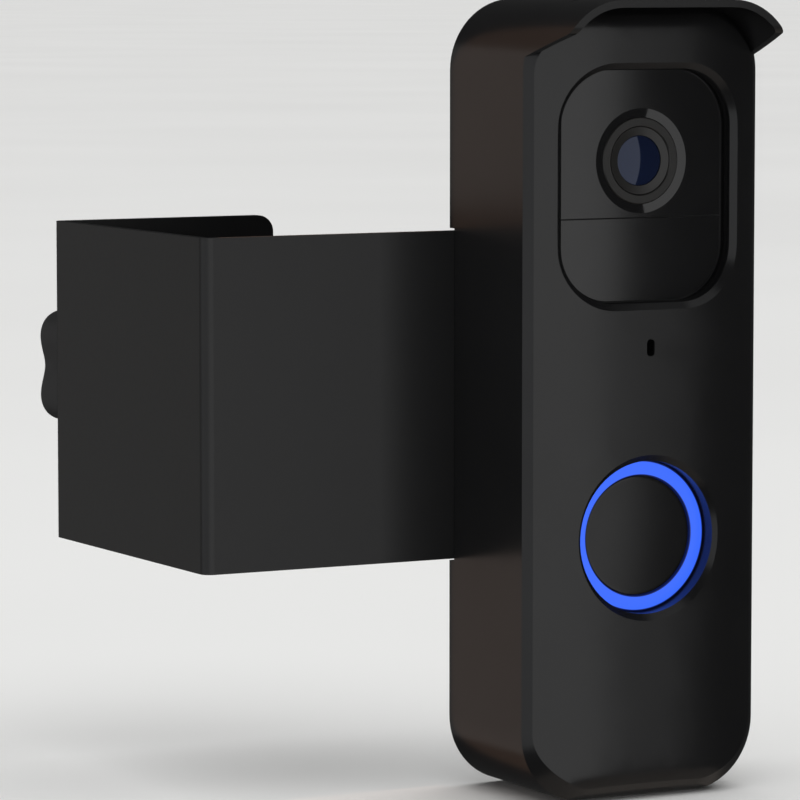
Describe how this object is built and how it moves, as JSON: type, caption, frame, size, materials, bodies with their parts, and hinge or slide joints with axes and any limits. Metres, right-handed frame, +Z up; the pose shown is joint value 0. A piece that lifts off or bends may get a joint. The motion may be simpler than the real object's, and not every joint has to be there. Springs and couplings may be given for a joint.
{
  "type": "video doorbell",
  "caption": "Video doorbell in a black hooded protective case, with camera window and lit push button, on a steel bracket that clamps round the edge of a door.",
  "frame": {"origin": "on the door's outer surface, on the inner face of the bracket's front flange, behind the middle of the case", "axes": "+Y into the door, away from the visitor, +Z up, +X to the right seen from the front"},
  "size_m": [0.0918, 0.1243, 0.1334],
  "materials": {
    "case_gloss": "satin gloss black",
    "case_plate": "matt black",
    "bracket_steel": "satin black powder coat",
    "pad_foam": "fine-celled foam rubber",
    "pad_rubber": "matt rubber",
    "screw_black": "black oxide",
    "clamp_steel": "zinc plated",
    "knob_plastic": "matt moulded black",
    "unit_shell": "matt black",
    "gasket_rubber": "matt rubber",
    "window_gloss": "polished black",
    "lens_black": "satin black",
    "lens_glass": "blue coated glass",
    "board_green": "solder mask",
    "chip_black": "moulded black",
    "flex_amber": "polyimide film",
    "sensor_can": "plain",
    "led_clear": "clear resin",
    "mesh_black": "woven acoustic mesh",
    "contact_metal": "nickel plated",
    "ring_light": "frosted diffuser lit blue",
    "button_black": "satin gloss black",
    "switch_plastic": "moulded grey",
    "cell_label": "printed film",
    "terminal_brass": "plain",
    "terminal_block": "moulded green"
  },
  "bodies": {
    "doorbell": {"case_cover": "case_gloss", "case_back_plate": "case_plate", "cover_screws": "screw_black", "door_bracket": "bracket_steel", "edge_pad": "pad_foam", "bracket_screws": "screw_black", "clamp_nut": "clamp_steel", "mounting_plate": "case_plate", "rear_housing": "unit_shell", "housing_gasket": "gasket_rubber", "front_housing": "unit_shell", "housing_screws": "screw_black", "camera_panel": "window_gloss", "sensor_panel": "window_gloss", "lens_bezel": "lens_black", "lens_retainer": "lens_black", "lens_barrel": "lens_black", "lens_glass": "lens_glass", "lens_rear_element": "lens_glass", "lens_holder": "lens_black", "camera_board": "board_green", "image_sensor": "chip_black", "camera_flex": "flex_amber", "main_board": "board_green", "motion_sensor": "sensor_can", "infrared_leds": "led_clear", "microphone": "chip_black", "microphone_mesh": "mesh_black", "antenna": "contact_metal", "speaker_gasket": "gasket_rubber", "speaker": "chip_black", "ring_leds": "led_clear", "light_ring": "ring_light", "button_switch": "chip_black", "battery_tray": "unit_shell", "battery_left": "cell_label", "battery_right": "cell_label", "battery_contacts": "contact_metal", "battery_springs": "contact_metal", "terminal_block": "terminal_block", "terminal_screws": "terminal_brass", "sync_switch": "chip_black", "rear_board": "board_green"},
    "pressure_foot": {"pressure_foot": "clamp_steel", "pressure_pad": "pad_rubber"},
    "clamp_screw": {"clamp_screw": "clamp_steel", "foot_clip": "clamp_steel", "clamp_knob": "knob_plastic", "knob_cap": "knob_plastic"},
    "button": {"button_cap": "button_black", "switch_plunger": "switch_plastic"},
    "sync_button": {"sync_button": "switch_plastic"}
  },
  "joints": [
    {"name": "button_press", "type": "slide", "parent": "doorbell", "child": "button", "axis": [0, 1, 0], "range_m": [0, 0.0005], "stiffness_N_per_m": 3000, "springref_m": -0.0002},
    {"name": "sync_press", "type": "slide", "parent": "doorbell", "child": "sync_button", "axis": [0, -1, 0], "range_m": [0, 0.0005], "stiffness_N_per_m": 1500, "springref_m": -0.0002},
    {"name": "foot_slide", "type": "slide", "parent": "doorbell", "child": "pressure_foot", "axis": [0, 1, 0], "range_m": [-0.013, 0.012]},
    {"name": "screw_turn", "type": "hinge", "parent": "pressure_foot", "child": "clamp_screw", "pos_m": [-0.05, 0, 0], "axis": [0, 1, 0], "range_deg": [-4680.01, 4320.01]}
  ],
  "couplings": [
    {"joint": "screw_turn", "follows": "foot_slide", "rad_per_m": 6283.2}
  ]
}
